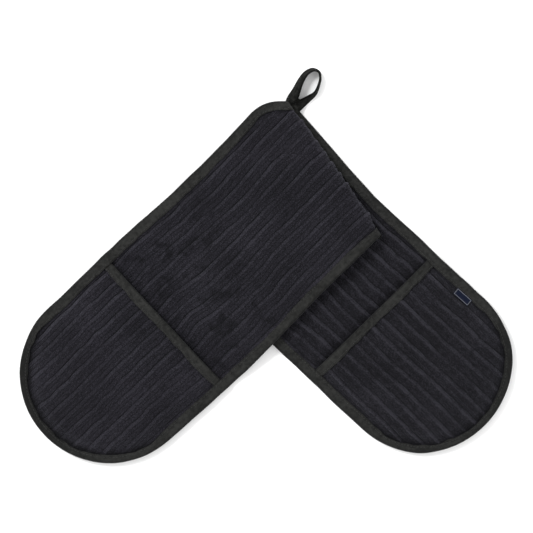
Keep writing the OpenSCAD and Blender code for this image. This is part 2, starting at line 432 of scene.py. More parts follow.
def hand_gap(side, s, t):
    """Height of the hand space between the strip and its pocket front."""
    depth = depth_inside(side, s, t)
    along = (s - mouth_line(side, t)) / POCKET_DEPTH[side]
    even = HAND_H * smooth((depth - 13 * MM) / (34 * MM)) * (0.3 + 0.7 * smooth(1 - along))
    if side not in SWELL:
        return even
    within = np.clip(t, FRONT_INSET, WIDTH - FRONT_INSET)
    start, end = mouth_line(side, within), round_end(side, within, FRONT_INSET)
    u, v = (s - start) / (end - start), (t - FRONT_INSET) / (WIDTH - 2 * FRONT_INSET)
    rows, columns = (np.clip(share, 0, 1) * (n - 1.001) for share, n in ((u, SWELL_ROWS), (v, SWELL_COLUMNS)))
    return even + SWELL_SHARE * (read_grid(SWELL[side], rows, columns) - even)


def freed(side, s, t):
    """How much of its own shape a pocket front has, away from its mouth's binding."""
    return smooth((s - mouth_line(side, t) - 6 * MM) / (14 * MM))


def pocket_under(side, s, t):
    return face_level(side, s, t) + hand_gap(side, s, t)


def pocket_over(side, s, t):
    """Height of a pocket front's face without its cords and pile."""
    thick = POCKET_T * plump(depth_inside(side, s, t), PRESSED["pocket"]) * (0.6 + 0.4 * freed(side, s, t))
    return pocket_under(side, s, t) + thick


def pocket_height(side, s, t):
    """The same with them; a metre further along, the pile's unevenness isn't that of the strip below."""
    pile = RIB_H * rib_shape(side, s, t, CREST[side + "_pocket"]) + crumple(side, s + 1, t)
    share = relief(depth_inside(side, s, t)) * (0.35 + 0.65 * freed(side, s, t))
    return pocket_over(side, s, t) + share * pile


# ---- meshes
def enclosed_volume(mesh, points):
    mesh.calc_loop_triangles()
    corners = np.empty(len(mesh.loop_triangles) * 3, np.int32)
    mesh.loop_triangles.foreach_get("vertices", corners)
    a, b, c = points[corners.reshape(-1, 3).T]
    return np.einsum("ij,ij->", a, np.cross(b, c)) / 6


def make_mesh(name, points, faces, uvs, material, flat_faces=0):
    """A piece with one uv per point, in metres of cloth; its last flat_faces aren't smoothed."""
    mesh = bpy.data.meshes.new(name)
    mesh.from_pydata(points.tolist(), [], faces)
    layer = mesh.uv_layers.new(name="cloth")
    index = np.empty(len(mesh.loops), int)
    mesh.loops.foreach_get("vertex_index", index)
    layer.data.foreach_set("uv", np.asarray(uvs, np.float32)[index].ravel())
    rounded = np.arange(len(mesh.polygons)) < len(mesh.polygons) - flat_faces
    mesh.polygons.foreach_set("use_smooth", rounded)
    mesh.materials.append(material)
    mesh.update()
    if enclosed_volume(mesh, points) < 0:
        mesh.flip_normals()
    return add_object(name, mesh)


def quads(rows, columns, start=0, flip=False):
    i, j = np.meshgrid(np.arange(rows - 1), np.arange(columns - 1), indexing="ij")
    a = start + i * columns + j
    faces = np.stack([a, a + columns, a + columns + 1, a + 1], -1).reshape(-1, 4)
    return faces[:, ::-1] if flip else faces


def shell(name, top, bottom, s, t, material):
    """A closed sheet of cloth or wadding between two grids of points, that lie at s and t in it."""
    rows, columns = top.shape[:2]
    count = rows * columns
    points = np.concatenate([top.reshape(-1, 3), bottom.reshape(-1, 3)])
    grid = np.arange(count).reshape(rows, columns)
    rim = np.concatenate([grid[0, :-1], grid[:-1, -1], grid[-1, :0:-1], grid[:0:-1, 0]])
    after = np.roll(rim, -1)
    wall = np.stack([rim, after, after + count, rim + count], -1)
    faces = np.concatenate([quads(rows, columns), quads(rows, columns, count, True), wall])
    uvs = np.tile(np.stack([s.ravel(), t.ravel()], -1), (2, 1))
    return make_mesh(name, points, faces.tolist(), uvs, material, flat_faces=len(wall))


def layer(name, place, s, t, levels, shares, material):
    """A sheet between two shares, high and low, of the way from one level up to another."""
    low, high = levels
    top, bottom = (place(s, t, low + (high - low) * share) for share in shares)
    return shell(name, top, bottom, s, t, material)


def keep_value(piece, name, values):
    """Leaves a value at each point of a mesh, for its material to read."""
    kept = piece.data.attributes.new(name, "FLOAT", "POINT")
    kept.data.foreach_set("value", values.astype(np.float32))


def show_cords(piece, place, strength, shaded):
    """Keeps each point's place among the cords, their strength and the shade, for the terry."""
    for name, values in (("cord", place), ("strength", strength), ("shaded", shaded)):
        keep_value(piece, name, np.tile(values.ravel(), 2))
    return piece


def in_shade(side, s, t, from_mouth):
    """Share of light lost to painted shade by the bindings and beside a mouth, and in darker patches before
    the left mouth.
    """
    past = s - ARMS[side].reach
    scallop, pressed, deeper = 0, 0, 0.1
    if side == "left":
        scallop = smooth((past - 10 * MM) / (40 * MM)) * (1.3 * MM + uneven(s, t, (1.8, 7, 26)))
        # darker patches before the left arm's mouth
        patches = lattice_noise(s + 0.6 * t, t - 0.3 * s, 13 * MM, 24) + 0.5 * lattice_noise(s, t, 5 * MM, 25)
        pressed = 0.5 * smooth((patches - 0.3) / 0.6) * hump(s, 190 * MM, 60 * MM) * (from_mouth > 0)
        deeper = 0.4 * smooth(past / (40 * MM))
    # painted contact shade along the bindings' inner border and beside a mouth, deeper round the left end
    border = np.exp(-np.maximum(depth_inside(side, s, t) - 0.75 * TAPE_W - scallop, 0) / (2.2 * MM))
    mouth = np.exp(-np.maximum(from_mouth, 0) / (2.6 * MM))
    return np.maximum((0.5 + deeper) * np.maximum(border, mouth), pressed)


def sweep_faces(stations, size, first=0):
    """The sides of a sweep, ring after ring, and its two end caps; its points begin at first."""
    i, j = np.meshgrid(np.arange(stations - 1), np.arange(size), indexing="ij")
    a, b = first + i * size + j, first + i * size + (j + 1) % size
    sides = np.stack([a, b, b + size, a + size], -1).reshape(-1, 4)
    ring = first + np.arange(size)
    return sides.tolist(), [ring[::-1].tolist(), (ring + (stations - 1) * size).tolist()]


def tube(name, rings, along, across, material):
    """A closed sweep with flat ends: rings of points, that lie along its cloth and across it."""
    sides, caps = sweep_faces(*rings.shape[:2])
    uv = np.stack(np.meshgrid(along, across, indexing="ij"), -1).reshape(-1, 2)
    return make_mesh(name, rings.reshape(-1, 3), sides + caps, uv, material, flat_faces=2)


SWELL = {side: blown_up(side) for side in ARMS}


# ---- grids over an arm
def arm_span(side, t, inset):
    """First and last s of each column, from the quarter roll at the crease to the round end."""
    arm, crease = ARMS[side], CREASE[side]
    zero = np.zeros_like(t)
    start = (ROLL - crease.beyond(arm.plan(zero, t))) / (arm.d @ crease.out)
    nose = (NOSE[side] - inset - arm.plan(zero, t)[:, 1]) / arm.d[1]
    radius, turn = NOSE_R[side], math.acos(abs(arm.d[0]))
    centre = (NOSE[side] - arm.zero[1]) / arm.d[1] + radius * math.tan(turn / 2)
    arc = centre - np.sqrt(np.maximum((radius - inset) ** 2 - (t - radius) ** 2, 0))
    nose = np.where(t < radius - (radius - inset) * math.cos(turn), arc, nose)
    return np.maximum(start, nose), round_end(side, t, inset)


def spread(start, end, count, fine=12 * MM, fine_count=14):
    """Rows from start to end for each column, closer together over the first stretch."""
    first = np.linspace(0, 1, fine_count, endpoint=False)[:, None] * fine
    rest = rows_between(fine, end - start, count)
    return start + np.concatenate([first + 0 * rest[:1], rest])


def quilt_layer(side, part, low, high, step, material):
    """One layer of an arm's quilt between two shares of its thickness."""
    t = even_steps(QUILT_INSET, WIDTH - QUILT_INSET, step)
    start, end = arm_span(side, t, QUILT_INSET)
    s = spread(start, end, int((end - start).max() / (step * 1.35)))
    t = np.broadcast_to(t, s.shape)
    levels = back_height(side, s, t), face_height(side, s, t)
    piece = layer(f"{side}_{part}_quilt", PLACE[side], s, t, levels, (high, low), material)
    return show_cords(piece, *cords(side, s, t, CREST[side]), in_shade(side, s, t, mouth_line(side, t) - s))


def pocket_layer(side, part, low, high, half, step, material):
    """One layer of half a pocket front; the halves meet on a flat strip between two cords."""
    t = even_steps(*half_front(side, half, FRONT_INSET), step)
    longest = (round_end(side, t, FRONT_INSET) - (mouth_line(side, t) + TAPE_T)).max()
    s, t = front_grid(side, t, TAPE_T, int(longest / (step * 1.35)))
    levels = pocket_under(side, s, t), pocket_height(side, s, t)
    piece = layer(f"{side}_{part}_{half}", PLACE[side], s, t, levels, (high, low), material)
    return show_cords(piece, *cords(side, s, t, CREST[side + "_pocket"]), in_shade(side, s, t, s - s[:1]))


# ---- the binding
EDGE_STEP = 1.6 * MM


def run(p, q):
    """Points from p up to but not including q."""
    count = max(int(math.dist(p, q) / EDGE_STEP), 2)
    k = np.linspace(0, 1, count, endpoint=False)[:, None]
    return np.asarray(p) + k * (np.asarray(q) - np.asarray(p))


def fillet(corner, before, after, inward, radius):
    """An arc that rounds a corner between two directions, its inward normals, and its two ends."""
    angle = math.acos(np.clip(before @ after, -1, 1))
    cut = radius * math.tan(angle / 2)
    count = max(int(radius * angle / EDGE_STEP), 4)
    turn = np.linspace(0, angle, count) * math.copysign(1, before[0] * after[1] - before[1] * after[0])
    c, s = np.cos(turn), np.sin(turn)
    normals = np.stack([inward[0] * c - inward[1] * s, inward[0] * s + inward[1] * c], -1)
    centre = corner - before * cut + inward * radius
    return centre - normals * radius, normals, corner - before * cut, corner + after * cut


def edge_path(side):
    """The strip's sewn edge in strip space, from the crease round the end to the blunt corner."""
    arm, crease = ARMS[side], CREASE[side]
    far_start = arm_span(side, np.array([WIDTH]), 0)[0][0] - 8 * MM
    far = run((far_start, WIDTH), (arm.reach, WIDTH))
    turn = np.linspace(math.pi / 2, -math.pi / 2, 150)
    end = np.stack([arm.reach + HALF * np.cos(turn), HALF + HALF * np.sin(turn)], -1)
    nose_corner = np.array([(NOSE[side] - arm.zero[1]) / arm.d[1], 0.0])
    east = np.array([arm.d[0], arm.n[0]]) * (1 if side == "left" else -1)
    south = -np.array([arm.d[1], arm.n[1]])
    back, inward = np.array([-1.0, 0.0]), np.array([0.0, 1.0])
    arc, arc_n, arc_from, arc_to = fillet(nose_corner, back, east, inward, NOSE_R[side])
    near = run((arm.reach, 0), arc_from)
    gone = crease.beyond(arm.plan(arc_to[0], arc_to[1]))
    slope = crease.out @ (east[0] * arm.d + east[1] * arm.n)
    nose = run(arc_to, arc_to + east * (max((ROLL - gone) / slope, 0) + 12 * MM))
    points = np.concatenate([far, end, near, arc, nose])
    normals = np.concatenate([
        np.tile((0, -1), (len(far), 1)), -np.stack([np.cos(turn), np.sin(turn)], -1),
        np.tile((0, 1), (len(near), 1)), arc_n, np.tile(south, (len(nose), 1))])
    return points, normals


def section(top, bottom):
    """A folded tape's outline at each station, as insets and heights: outside, then inside."""
    flap = np.array([1, 0.82, 0.6, 0.4, 0.25]) * TAPE_W
    bend = 0.18 * TAPE_W
    inner = bend - TAPE_T
    arc = np.linspace(math.pi / 2, -math.pi / 2, 9)
    rise = (top(bend) + TAPE_T - bottom(bend) + TAPE_T) / 2
    middle = (top(bend) + bottom(bend)) / 2
    outside = [(d, top(d) + TAPE_T) for d in flap]
    outside += [(bend * (1 - math.cos(a)), middle + rise * math.sin(a)) for a in arc]
    outside += [(d, bottom(d) - TAPE_T) for d in flap[::-1]]
    inside = [(d, bottom(d)) for d in flap]
    inside += [(TAPE_T + inner * (1 - math.cos(a)), middle + (rise - TAPE_T) * math.sin(a))
               for a in arc[::-1]]
    inside += [(d, top(d)) for d in flap[::-1]]
    return outside + inside


def turned_under(side, points):
    """How much of the light a round end's binding loses where it curls down."""
    past = smooth((points[:, 0] - ARMS[side].reach - 15 * MM) / (35 * MM))
    return (0.9 if side == "left" else 0.45) * past * smooth((130 * MM - points[:, 1]) / (60 * MM))


def binding(name, path, levels, lay, narrowing, shade):
    """Tape folded over an edge, with an uneven inner border.

    At each point of the path, narrowing is the share of its width that it loses, and shade of its light.
    """
    points, normals = path
    along = along_path(points)
    border = 1 - narrowing + (0.035 + 0.2 * narrowing) * lattice_noise(along, along * 0, 9 * MM, 51)
    rings = []
    for depth, z in section(*levels):
        p = points + normals * (depth * np.where(depth > 0.5 * TAPE_W, border, 1.0))[:, None]
        rings.append(lay(p[:, 0], p[:, 1], z + np.zeros(len(points))))
    rings = np.stack(rings, 1)
    widths = np.median(np.linalg.norm(np.diff(rings, axis=1), axis=2), axis=0)
    piece = tube(name, rings, along, np.append(0, np.cumsum(widths)), TAPE)
    keep_value(piece, "shaded", np.repeat(np.zeros(len(points)) + shade, rings.shape[1]))
    return piece


def arm_binding_levels(side, points, normals):
    """Heights of what the edge binding is folded over, at a given distance inside the edge."""
    past_mouth = points[:, 0] - mouth_line(side, points[:, 1])
    covered = smooth(past_mouth / (5 * MM) + 1.1)
    over_tape = (TAPE_T + 0.3 * MM) * hump(past_mouth, TAPE_W / 2, 0.75 * TAPE_W)

    def top(d):
        p = points + normals * d
        strip = face_level(side, p[:, 0], p[:, 1])
        pocket = pocket_over(side, p[:, 0], p[:, 1])
        return strip + (pocket - strip) * covered + over_tape + TAPE_OFF

    def bottom(d):
        p = points + normals * d
        return back_height(side, p[:, 0], p[:, 1])

    return top, bottom


STITCH_PITCH, STITCH_LEN, STITCH_R = 3.3 * MM, 2.5 * MM, 0.27 * MM
ROUND = np.linspace(0, 2 * math.pi, 6, endpoint=False)  # round a thread
UP = np.array([0.0, 0.0, 1.0])


def stitch_row(name, line, up):
    """Separate stitches lying along a line of points, sunk into the cloth at both ends."""
    at = along_path(line)
    starts = np.arange(0.8 * MM, at[-1] - STITCH_LEN, STITCH_PITCH)
    k = np.linspace(0, 1, 6)
    where = starts[:, None] + k * STITCH_LEN
    centre, lift = read_along(at, line, where), unit_rows(read_along(at, up, where))
    side = np.cross(unit_rows(np.gradient(centre, axis=1)), lift)
    swell = STITCH_R * np.sin(math.pi * (0.12 + 0.76 * k)) ** 0.5
    sunk = STITCH_R * (1.6 * np.sin(math.pi * k) - 1.1)
    ring = np.cos(ROUND)[:, None] * side[..., None, :] * 1.25 + np.sin(ROUND)[:, None] * lift[..., None, :]
    points = (centre + lift * sunk[:, None])[..., None, :] + ring * swell[:, None, None]
    count, stations, size = points.shape[:3]
    faces = []
    for stitch in range(count):
        sides, caps = sweep_faces(stations, size, stitch * stations * size)
        faces += sides + caps
    uv = np.stack([np.broadcast_to(v, points.shape[:3]) for v in (where[..., None], ROUND * STITCH_R)], -1)
    return make_mesh(name, points.reshape(-1, 3), faces, uv.reshape(-1, 2), THREAD)


# ---- materials
def principled(name, rough, sheen=0.0, sheen_tint=(1, 1, 1, 1), sheen_rough=0.4, specular=0.25):
    material = bpy.data.materials.new(name)
    material.use_nodes = True
    shader = material.node_tree.nodes["Principled BSDF"]
    looks = {"Roughness": rough, "Specular IOR Level": specular, "Sheen Weight": sheen,
             "Sheen Tint": sheen_tint, "Sheen Roughness": sheen_rough}
    for key, look in looks.items():
        shader.inputs[key].default_value = look
    return material, shader


class Value:
    """A number in a cloth's material; sums that are written with it become math nodes."""

    def __init__(self, cloth, socket):
        self.cloth, self.socket = cloth, socket

    def calc(self, operation, *others):
        return self.cloth.value("ShaderNodeMath", dict(enumerate((self, *others))), operation=operation)

    def __add__(self, other):
        return self.calc("ADD", other)

    def __sub__(self, other):
        return self.calc("SUBTRACT", other)

    def __rsub__(self, other):
        return self.calc("MULTIPLY_ADD", -1.0, other)

    def __mul__(self, other):
        return self.calc("MULTIPLY", other)

    def wave(self, rate):
        return (self * rate).calc("SINE")

    def bell(self, middle, width):
        """1 where the value is at the middle, falling off over the width on both sides."""
        off = (self - middle) * (1 / width)
        return (off * off * -1.0).calc("EXPONENT")


class Cloth:
    """A cloth's material in the making, laid out in millimetres along the cloth and across it."""

    def __init__(self, name, *looks, **more_looks):
        self.material, self.shader = principled(name, *looks, **more_looks)
        self.tree = self.material.node_tree
        uv = self.value("ShaderNodeUVMap", uv_map="cloth")
        self.place = self.value("ShaderNodeVectorMath", {0: uv, 1: (1 / MM,) * 3}, operation="MULTIPLY")
        self.along, self.across = (self.value("ShaderNodeSeparateXYZ", {0: self.place}, i) for i in (0, 1))

    def value(self, kind, inputs=None, output=0, **settings):
        """One output of a new node whose inputs are numbers or other values."""
        made = self.tree.nodes.new(kind)
        for key, setting in settings.items():
            setattr(made, key, setting)
        for key, given in (inputs or {}).items():
            if isinstance(given, Value):
                self.tree.links.new(given.socket, made.inputs[key])
            else:
                made.inputs[key].default_value = given
        return Value(self, made.outputs[output])

    def noise(self, scale, detail=2.0, rough=0.5):
        inputs = {"Vector": self.place, "Scale": scale, "Detail": detail, "Roughness": rough}
        return self.value("ShaderNodeTexNoise", inputs)

    def kept(self, name):
        """A value that keep_value left on the mesh."""
        return self.value("ShaderNodeAttribute", None, "Fac", attribute_name=name)

    def ramp(self, tone, stops):
        colour = self.value("ShaderNodeValToRGB", {0: tone})
        elements = colour.socket.node.color_ramp.elements
        while len(elements) < len(stops):
            elements.new(0.5)
        for element, (position, shade) in zip(elements, stops):
            element.position, element.color = position, (*shade, 1)
        return colour

    def finish(self, colour, height, distance, strength=1.0):
        """The material, with its colour and a bump of the given height."""
        bump = self.value("ShaderNodeBump", {"Height": height, "Distance": distance, "Strength": strength})
        for name, value in (("Base Color", colour), ("Normal", bump)):
            self.tree.links.new(value.socket, self.shader.inputs[name])
        return self.material


def terry_material(name, colours, crest_highlight_gain, fine_gain, mottle):
    """Looped pile, with a painted highlight on the cords' crests, painted shade in the grooves beside them
    and darker fine lines between them.
    """
    terry = Cloth(name, 0.95, 0.07, (0.82, 0.82, 1.0, 1), 0.5, 0.1)
    strength = terry.kept("strength")
    f = (terry.kept("cord") + 100.5).calc("FRACT") - 0.5
    # painted highlight on each cord's crest, and painted shade in its groove
    crest = f.bell(0.02, 0.13) * strength
    groove = f.bell(-0.2, 0.05) * strength
    between = (f.bell(0.14, 0.035) + f.bell(0.4, 0.035)) * terry.noise(0.07, 1.0)
    loops = {"Vector": terry.place, "Scale": 0.8, "Randomness": 0.85}
    pile = 1.0 - terry.value("ShaderNodeTexVoronoi", loops, "Distance")
    fuzz = terry.noise(0.85, 2.0, 0.75)
    clumps = terry.noise(0.2, 3.0, 0.65) - 0.5
    broad = terry.noise(0.018, 1.0) - 0.5
    tone = pile * 0.35 + fuzz * 2.0 + clumps * mottle + broad * 0.5 + crest * crest_highlight_gain
    # painted shade: in the grooves, and the share that in_shade left as shaded
    tone = tone - groove * 0.45 - between * fine_gain - terry.kept("shaded") * 0.6 - 0.6
    height = pile * 0.6 + fuzz * 0.9 - groove * 0.9 - between * (2 * fine_gain)
    return terry.finish(terry.ramp(tone, list(zip((0.1, 0.55, 1.0), colours))), height, 1.2 * MM)


def twill_material(name, light, depth, rough, shine):
    """The tapes' diagonal weave, with painted shade along the fold where a tape turns over the edge, and
    where it lies in shade.
    """
    tape = Cloth(name, rough, 0.05 * shine, (0.95, 0.97, 1.0, 1), 0.45, 0.15 * shine)
    along, across, rate = tape.along, tape.across, 1.1 * math.pi
    weave = (along + across).wave(rate) + (along - across).wave(rate * 2) * 0.35
    wear = tape.noise(0.5, 4.0, 0.8)
    # painted shade along the fold, where the tape turns round the edge
    tone = wear + weave * 0.12 - across.bell(11.6, 2.4) * 0.45
    tone = tone + (tape.noise(0.22) - 0.5) * 0.9 + (tape.noise(0.025, 1.0) - 0.45) * 0.5
    tone = tone - tape.kept("shaded") * 0.3
    colour = tape.ramp(tone, [(0.3, (0.0045, 0.0046, 0.0043)), (0.72, light)])
    return tape.finish(colour, weave * 0.5 + wear * 0.8, depth, 0.8)


def lining_material():
    """Plain-woven charcoal cotton."""
    lining = Cloth("lining_cotton", 0.9, 0.05, (0.95, 0.97, 1.0, 1), 0.45, 0.15)
    rate = 1.6 * math.pi
    weave = lining.along.wave(rate) * lining.across.wave(rate)
    wear = lining.noise(0.5, 4.0, 0.8)
    stops = [(0.3, (0.014, 0.0135, 0.016)), (0.72, (0.032, 0.031, 0.036))]
    return lining.finish(lining.ramp(wear + weave * 0.12, stops), weave * 0.5 + wear * 0.8, 0.2 * MM, 0.8)


def wadding_material():
    wadding = Cloth("polyester_wadding", 1.0, 0.3)
    fibres = wadding.noise(0.9, 6.0, 0.75)
    colour = wadding.ramp(fibres, [(0.3, (0.55, 0.55, 0.54)), (0.7, (0.8, 0.8, 0.79))])
    return wadding.finish(colour, fibres, 1.2 * MM, 0.8)


def thread_material():
    thread = Cloth("sewing_thread", 0.6, 0.1)
    twist = (thread.along + thread.across).wave(9.0)
    colour = thread.ramp(twist * 0.5 + 0.5, [(0.0, (0.004, 0.004, 0.004)), (1.0, (0.011, 0.011, 0.011))])
    return thread.finish(colour, twist, 0.1 * MM)


def label_material():
    """Satin-woven navy label with a pale border and nothing written on it."""
    label = Cloth("label_satin", 0.85, specular=0.08)
    from_ends = label.along.calc("MINIMUM", LABEL_LEN / MM - label.along)
    from_sides = label.across.calc("MINIMUM", LABEL_W / MM - label.across)
    inside = from_ends.calc("MINIMUM", from_sides)
    border = (inside - 0.75).calc("ABSOLUTE").calc("LESS_THAN", 0.26)
    ribs = label.along.wave(14.0)
    ground = label.ramp(ribs * 0.5 + 0.5, [(0, (0.004, 0.006, 0.016)), (1, (0.007, 0.01, 0.024))])
    mixed = {0: border, 6: ground, 7: (0.13, 0.135, 0.15, 1)}
    return label.finish(label.value("ShaderNodeMix", mixed, 2, data_type="RGBA"), ribs, 0.08 * MM)


# groove, pile and crest colours of each arm's terry: the groove end is painted shade, the crest end a painted
# highlight
LEFT_TONES = (0.0015, 0.0015, 0.0018), (0.0077, 0.0071, 0.0097), (0.025, 0.0238, 0.0305)
# the right arm's terry is the left's cloth darkened with painted shade, with a stronger painted crest
# highlight
RIGHT_TONES = (0.0012, 0.0012, 0.0015), (0.0054, 0.0051, 0.0067), (0.0205, 0.0197, 0.0248)
TERRY = {
    "left": terry_material("grey_terry", LEFT_TONES, 0.2, 0.5, 0.45),
    "right": terry_material("grey_terry_shaded_copy", RIGHT_TONES, 0.45, 0.25, 0.8),
}
TAPE = twill_material("binding_twill", (0.019, 0.0192, 0.0181), 0.18 * MM, 0.85, 1.0)
LOOP_TAPE = twill_material("loop_twill", (0.022, 0.0222, 0.021), 0.22 * MM, 1.0, 0.1)
LINING = lining_material()
WADDING = wadding_material()
THREAD = thread_material()


# ---- pieces
def at_crease(crease, beyond):
    """The point that lies a little beyond a crease, at its height."""
    return (*(crease.p + beyond * crease.out), crease.z)


def finish_piece(piece, node_name, slot_name, body=None, bend=None, pad=None):
    """Hides the CAD node that a piece stands for, and parents the piece to its body, or, given a bend, bakes
    its transform.
    """
    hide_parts(node_name)
    if bend:
        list(bend)
        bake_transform(piece)
    else:
        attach(piece, body)


BENDS = {
    "left": ("middle", "left_arm", at_crease(TOP_CREASE, BEND), at_crease(TOP_CREASE, 0)),
    "right": ("right_arm", "middle", at_crease(UNDER_CREASE, 0), at_crease(UNDER_CREASE, BEND)),
    "near": ("middle", "left_arm", at_crease(TOP_CREASE, 0), at_crease(TOP_CREASE, BEND)),
    "far": ("right_arm", "middle", at_crease(UNDER_CREASE, BEND), at_crease(UNDER_CREASE, 0)),
}


POCKET_BEND = {"a": (19 * MM, 66 * MM), "b": (166 * MM, 118 * MM)}  # t at the edge and well inside


def pocket_bend(side, half):
    """The arm and pocket bodies, and two points at the mouth for half a pocket front: at its sewn edge and
    well inside.
    """
    arm, (edge, inner) = ARMS[side], POCKET_BEND[half]
    points = [(*arm.plan(arm.mouth, t), 0.01) for t in (edge, inner)]
    return (side + "_arm", side + "_pocket", *points)


LAYERS = [  # name, lowest and highest share of the thickness, mesh size in mm, material slot
    ("backing", 0.0, 0.17, 3.0, "lining_cloth"),
    ("wadding", 0.19, 0.6, 3.0, "wadding"),
    ("face_terry", 0.62, 1, 1.1, "terry"),
]
POCKET_LAYERS = [
    ("pocket_lining", 0.0, 0.17, 2.0, "lining_cloth"),
    ("pocket_wadding", 0.19, 0.58, 2.0, "wadding"),
    ("pocket_face", 0.6, 1, 1.0, "terry"),
]
PADS = {"face_terry": 0.5, "wadding": 0.5, "pocket_face": 0.5, "pocket_wadding": 0.5}


def material_for(slot_name, side):
    return {"terry": TERRY.get(side, TERRY["right"]), "lining_cloth": LINING, "wadding": WADDING}[slot_name]


for side in ARMS:
    for part, low, high, step, slot_name in LAYERS:
        piece = quilt_layer(side, part, low, high, step * MM, material_for(slot_name, side))
        finish_piece(piece, f"{side}_{part}", slot_name, bend=BENDS[side], pad=PADS.get(part))
    for part, low, high, step, slot_name in POCKET_LAYERS:
        for half in "ab":
            piece = pocket_layer(side, part, low, high, half, step * MM, material_for(slot_name, side))
            finish_piece(piece, f"{side}_{part}", slot_name, bend=pocket_bend(side, half), pad=PADS.get(part))


# ---- the wedge panel
MID_NOSE = NOSE_Y - 7 * MM
PANEL = {"near": (place_middle_near, TOP_CREASE), "far": (place_middle_far, UNDER_CREASE)}


def line_s(t, beyond):
    """Where along the left arm's frame a linear distance function is zero, for each t."""
    zero, one = beyond(0 * t, t), beyond(0 * t + 1, t)
    return -zero / (one - zero)


def from_middle(half, end_at):
    """From midway between the panel's creases to this half's crease, both told by end_at."""
    ends = {name: end_at(crease) for name, (_, crease) in PANEL.items()}
    return sum(ends.values()) / 2, ends[half]


def wedge_span(half, t):
    """First and last s of each column of half the wedge panel."""
    return from_middle(half, lambda c: line_s(t, lambda s, t: c.beyond(wedge(s, t)) - ROLL))


def wedge_depth(s, t):
    return np.minimum(np.minimum(t, WIDTH - t), MID_NOSE - wedge(s, t)[..., 1])


def place_within(half, s, t, z):
    """Half the wedge panel laid out, and kept within its binding at the nose."""
    placed = PANEL[half][0](s, t, z)
    placed[..., 1] = np.minimum(placed[..., 1], MID_NOSE - QUILT_INSET)
    return placed


def wedge_layer(half, part, low, high, step, material):
    """One layer of half the wedge panel; only its uppermost one has cords."""
    t = even_steps(2 * QUILT_INSET, WIDTH - QUILT_INSET, step)
    start, end = wedge_span(half, t)
    s = rows_between(start, end, max(int(np.abs(end - start).max() / (step * 1.2)), 12))
    t = np.broadcast_to(t, s.shape)
    depth = np.maximum(wedge_depth(s, t), 0)
    face, back = THICK * plump(depth, PRESSED["strip"]), back_rise(depth)
    if high == 1:
        face = face + relief(depth) * (RIB_H * rib_shape("left", s, t, CREST["left"]) - 0.2 * MM)
    place = functools.partial(place_within, half)
    piece = layer(f"middle_{part}_{half}", place, s, t, (back, face), (high, low), material)
    return show_cords(piece, *cords("left", s, t, CREST["left"]), 0 * s)


for half in PANEL:
    for part, low, high, step, slot_name in LAYERS:
        piece = wedge_layer(half, part, low, high, max(step, 1.5) * MM, material_for(slot_name, "right"))
        finish_piece(piece, f"middle_{part}", slot_name, bend=BENDS[half], pad=PADS.get(part))


# ---- edge bindings and their stitching
def held_at_roll(p, ahead, flat, crease):
    """Points that would pass the end of a fold's quarter roll, moved back to it along the edge."""
    over = np.maximum(crease.beyond(flat(p[:, 0], p[:, 1])) - ROLL, 0)
    tiny = 1 * MM
    slope = (crease.beyond(flat(*(p + ahead * tiny).T)) - crease.beyond(flat(*p.T))) / tiny
    slope = np.where(np.abs(slope) < 0.05, 0.05, slope)
    return p - np.where(over > 0, over / slope, 0)[:, None] * ahead


def sew_tape(names, path, levels, place, bend, held=None, faces="", narrowing=0.0, shade=0.0):
    """A binding along a path and its rows of stitches, on its top and under faces.

    names are the tape's own, its CAD node's and its thread's. held is a plan layout and a crease that the
    tape doesn't pass.
    """
    name, tape_node, thread_node = names
    points, normals = path
    ahead = unit_rows(np.gradient(points, axis=0))

    def lay(s, t, z):
        p = np.stack([s, t], -1)
        if held:
            p = held_at_roll(p, ahead, *held)
        return place(p[:, 0], p[:, 1], z)

    tape = binding(name, path, levels, lay, narrowing, shade)
    rows = []
    p = points + normals * (TAPE_W * (1 - np.reshape(narrowing, (-1, 1))) - STITCH_IN)
    for face in faces.split():
        sign, surface = (1, levels[0]) if face == "top" else (-1, levels[1])
        level = surface(TAPE_W - STITCH_IN) + sign * TAPE_T
        line, above = lay(p[:, 0], p[:, 1], level), lay(p[:, 0], p[:, 1], level + sign * 0.1 * MM)
        fresh = np.concatenate([[True], np.linalg.norm(np.diff(line, axis=0), axis=1) > 0.2 * MM])
        rows.append(stitch_row(f"{name}_stitches_{face}", line[fresh][2:-2], (above - line)[fresh][2:-2]))
    finish_piece(tape, tape_node, "binding_tape", bend=bend)
    for row in rows:
        finish_piece(row, thread_node, "thread", bend=bend)


for side, arm in ARMS.items():
    path = edge_path(side)
    along = path[0][:, 0]
    at_tip, at_nose = smooth((along - arm.reach) / (30 * MM)), smooth((60 * MM - along) / (30 * MM))
    narrowing = np.maximum(NARROW["tip"] * at_tip, NARROW["nose"] * at_nose)
    sew_tape((f"{side}_edge_tape", f"{side}_edge_binding", f"{side}_binding_thread"), path,
             arm_binding_levels(side, *path), PLACE[side], BENDS[side], (arm.plan, CREASE[side]), "top under",
             narrowing, turned_under(side, path[0]))


def wedge_edge(half, where):
    """A sewn edge of the wedge panel, in the left arm's frame: the far edge or the short nose edge."""
    if where == "far":
        start, end = (v[0] for v in wedge_span(half, np.array([WIDTH])))
        points = np.linspace((start, WIDTH), (end, WIDTH), max(int(abs(end - start) / EDGE_STEP), 8))
        return points, np.tile((0.0, -1.0), (len(points), 1))
    span = from_middle(half, lambda c: c.p[0] + (ROLL - (MID_NOSE - c.p[1]) * c.out[1]) / c.out[0])
    x = np.linspace(*span, 14)
    plan = np.stack([x, np.full(len(x), MID_NOSE)], -1)
    points = np.stack(LEFT.inverse(mirrored(plan)), -1)
    south = np.array([0.0, -1.0]) + 2 * TOP_CREASE.out[1] * TOP_CREASE.out
    return points, np.tile((south @ LEFT.d, south @ LEFT.n), (len(points), 1))


WEDGE_LEVELS = (lambda d: THICK * plump(d, PRESSED["strip"]) + TAPE_OFF, back_rise)

